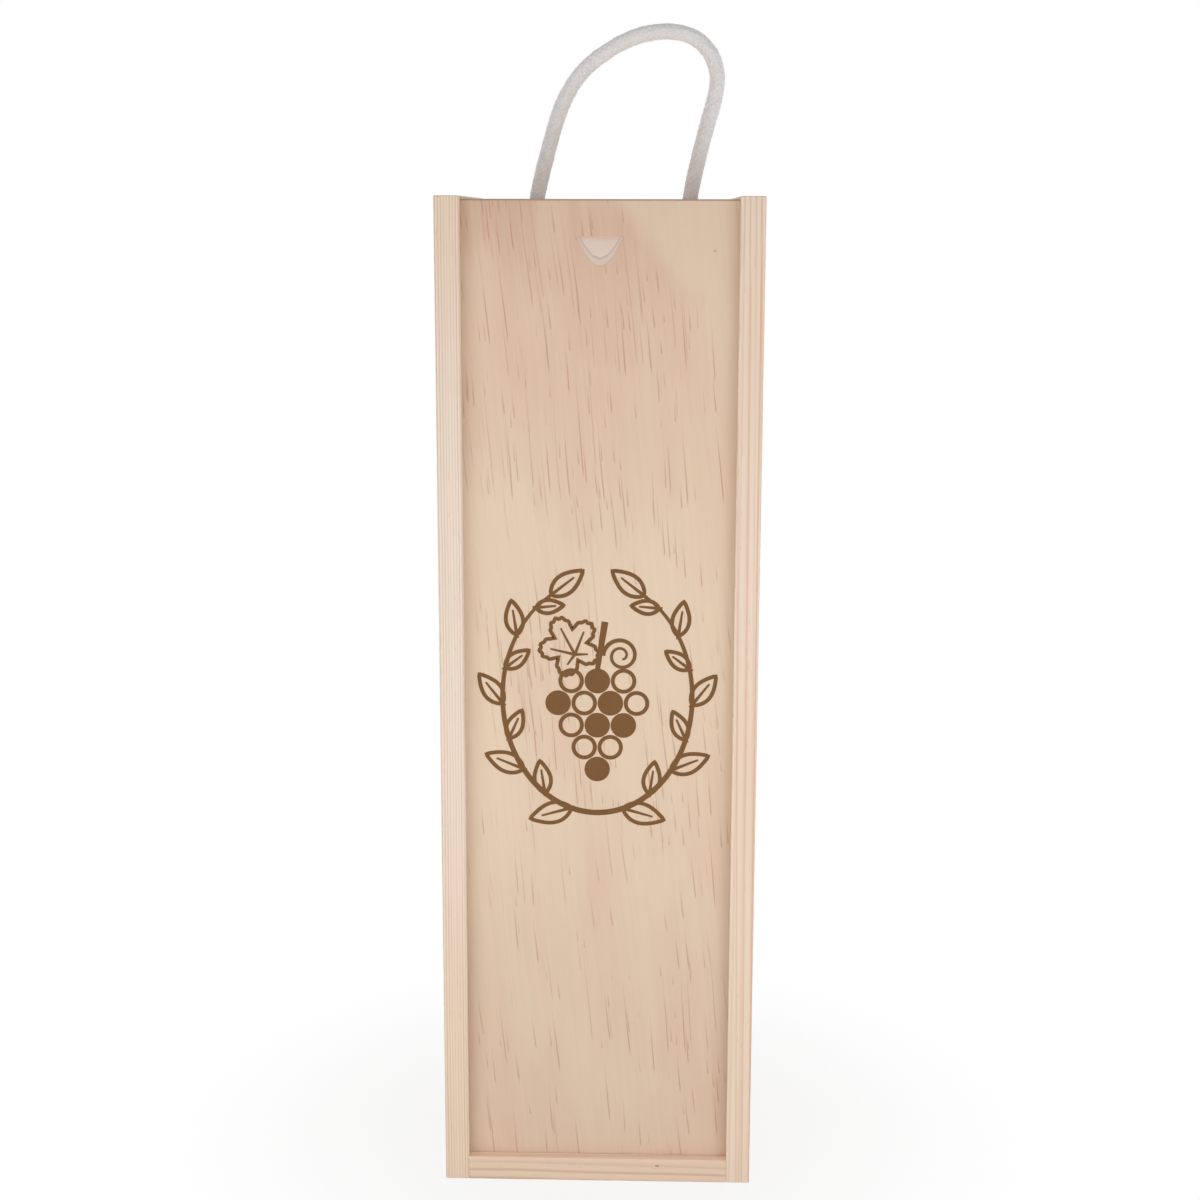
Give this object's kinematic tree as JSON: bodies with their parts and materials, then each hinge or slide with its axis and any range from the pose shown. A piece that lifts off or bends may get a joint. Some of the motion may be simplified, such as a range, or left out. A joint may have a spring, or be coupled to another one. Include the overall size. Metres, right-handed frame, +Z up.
{
  "type": "wooden wine box",
  "caption": "Upright pine box for a wine bottle, with a sliding plywood lid in front, a thumb notch and a rope handle.",
  "frame": {"origin": "centre of the underside, at the middle of the box's width and depth", "axes": "+X to the right seen from the lid's side, -Y towards the lid, +Z up along the box's length"},
  "size_m": [0.11, 0.1, 0.4091],
  "materials": {
    "pine_side_left": "bare planed pine",
    "pine_side_right": "bare planed pine",
    "pine_end": "bare planed pine",
    "plywood_lid": "bare sanded plywood",
    "plywood_back": "bare plywood",
    "lid_print": "flat stained print",
    "cotton_rope": "soft braided cotton",
    "steel_nails": "plain steel"
  },
  "bodies": {
    "case": {"side_left": "pine_side_left", "side_right": "pine_side_right", "head_board": "pine_end", "foot_board": "pine_end", "back_panel": "plywood_back", "rope_handle": "cotton_rope", "rope_knot_left": "cotton_rope", "rope_knot_right": "cotton_rope", "corner_brads": "steel_nails", "back_pins": "steel_nails"},
    "lid": {"sliding_lid": "plywood_lid"}
  },
  "joints": [
    {"name": "lid_slide", "type": "slide", "parent": "case", "child": "lid", "axis": [0, 0, 1], "range_m": [0, 0.35]}
  ]
}
